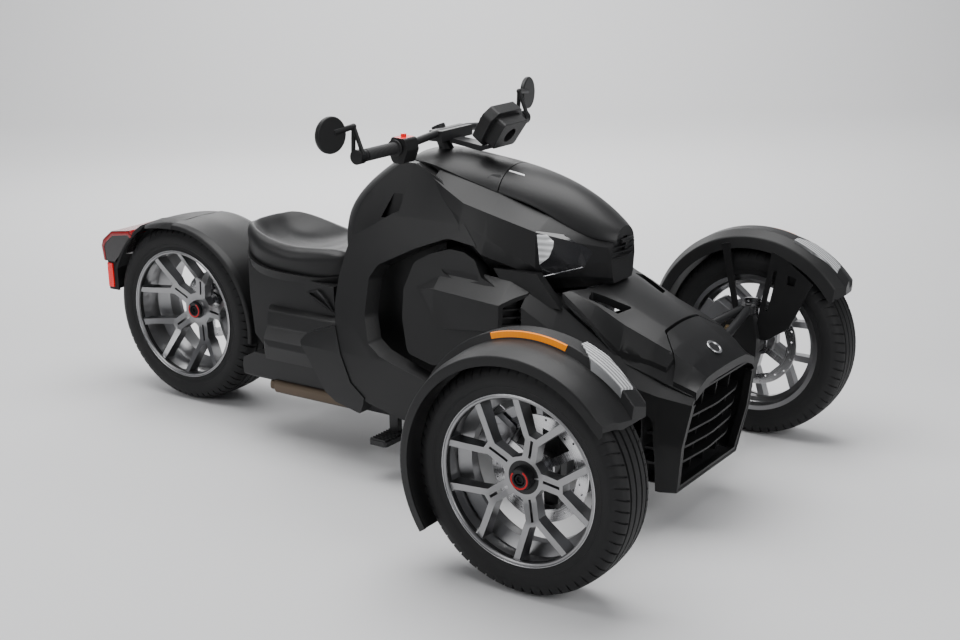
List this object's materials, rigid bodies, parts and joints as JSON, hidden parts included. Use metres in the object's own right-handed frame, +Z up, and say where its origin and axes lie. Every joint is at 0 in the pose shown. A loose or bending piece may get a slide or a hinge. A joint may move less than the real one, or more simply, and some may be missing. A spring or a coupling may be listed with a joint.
{
  "type": "three wheeled car",
  "caption": "Open three-wheeled roadster with two steered front wheels, one driven rear wheel, a straddle seat and a handlebar",
  "frame": {"origin": "on the ground below the middle of the vehicle's overall length, on its centre plane", "axes": "+Z up, -Y forward (the way the vehicle drives), +X to the vehicle's left"},
  "size_m": [1.509, 2.3518, 1.062],
  "materials": {
    "tyre": "matt",
    "rim": "satin",
    "disc": "brushed",
    "cast_metal": "rough",
    "dark_steel": "satin",
    "textured_plastic": "matt",
    "satin_plastic": "satin",
    "gloss_black": "gloss",
    "seat_cover": "satin",
    "grip_rubber": "matt",
    "lamp_lens": "clear",
    "red_lens": "clear"
  },
  "bodies": {
    "chassis": {"belly_pan": "textured_plastic", "console": "gloss_black", "engine": "cast_metal", "engine_covers": "textured_plastic", "foot_panels": "satin_plastic", "foot_pegs": "cast_metal", "frame": "dark_steel", "front_shocks": "dark_steel", "grille": "textured_plastic", "headlamps": "lamp_lens", "hood": "satin_plastic", "lamp_fairing": "satin_plastic", "muffler": "dark_steel", "nose": "textured_plastic", "rear_caliper": "cast_metal", "rear_fender": "textured_plastic", "rear_shock": "dark_steel", "seat": "seat_cover", "seat_base": "textured_plastic", "side_frame_left": "satin_plastic", "side_frame_right": "satin_plastic", "side_pods": "textured_plastic", "swingarm": "cast_metal", "tail_carrier": "textured_plastic", "tail_lamp": "red_lens", "tank_shell": "textured_plastic", "wishbones": "dark_steel"},
    "lid": {"cowl_lid": "gloss_black"},
    "handlebar_assembly": {"handlebar": "dark_steel", "grips": "grip_rubber", "switch_pods": "textured_plastic", "display": "textured_plastic", "mirrors": "textured_plastic"},
    "knuckle_left_assembly": {"knuckle_left": "cast_metal", "caliper_left": "cast_metal", "fender_left": "textured_plastic", "fender_lamps_left": "lamp_lens"},
    "knuckle_right_assembly": {"knuckle_right": "cast_metal", "caliper_right": "cast_metal", "fender_right": "textured_plastic", "fender_lamps_right": "lamp_lens"},
    "wheel_front_left": {"tyre_front_left": "tyre", "rim_front_left": "rim", "disc_front_left": "disc"},
    "wheel_front_right": {"tyre_front_right": "tyre", "rim_front_right": "rim", "disc_front_right": "disc"},
    "wheel_rear": {"tyre_rear": "tyre", "rim_rear": "rim", "disc_rear": "disc"},
    "track_rods": {"track_rods": "dark_steel"}
  },
  "joints": [
    {"name": "steering", "type": "hinge", "parent": "chassis", "child": "handlebar_assembly", "pos_m": [0, -0.193, 0.912], "axis": [0, 0.4226, 0.9063], "range_deg": [-35, 35]},
    {"name": "front_steer_left", "type": "hinge", "parent": "chassis", "child": "knuckle_left_assembly", "pos_m": [0.558, -0.886, 0.29], "axis": [0, 0, 1], "range_deg": [-25.2, 25.2]},
    {"name": "front_steer_right", "type": "hinge", "parent": "chassis", "child": "knuckle_right_assembly", "pos_m": [-0.558, -0.886, 0.29], "axis": [0, 0, 1], "range_deg": [-25.2, 25.2]},
    {"name": "track_rod_slide", "type": "slide", "parent": "chassis", "child": "track_rods", "axis": [1, 0, 0], "range_m": [-0.0485, 0.0485]},
    {"name": "roll_front_left", "type": "hinge", "parent": "knuckle_left_assembly", "child": "wheel_front_left", "pos_m": [0.65, -0.886, 0.29], "axis": [1, 0, 0], "continuous": true},
    {"name": "roll_front_right", "type": "hinge", "parent": "knuckle_right_assembly", "child": "wheel_front_right", "pos_m": [-0.65, -0.886, 0.29], "axis": [1, 0, 0], "continuous": true},
    {"name": "roll_rear", "type": "hinge", "parent": "chassis", "child": "wheel_rear", "pos_m": [0, 0.823, 0.295], "axis": [1, 0, 0], "continuous": true},
    {"name": "lid_hinge", "type": "hinge", "parent": "chassis", "child": "lid", "pos_m": [0, -0.778, 0.714], "axis": [1, 0, 0], "range_deg": [0, 50]}
  ],
  "couplings": [
    {"joint": "front_steer_left", "follows": "steering", "ratio": 0.71429},
    {"joint": "front_steer_right", "follows": "steering", "ratio": 0.71429},
    {"joint": "track_rod_slide", "follows": "steering", "m_per_rad": -0.0785}
  ]
}
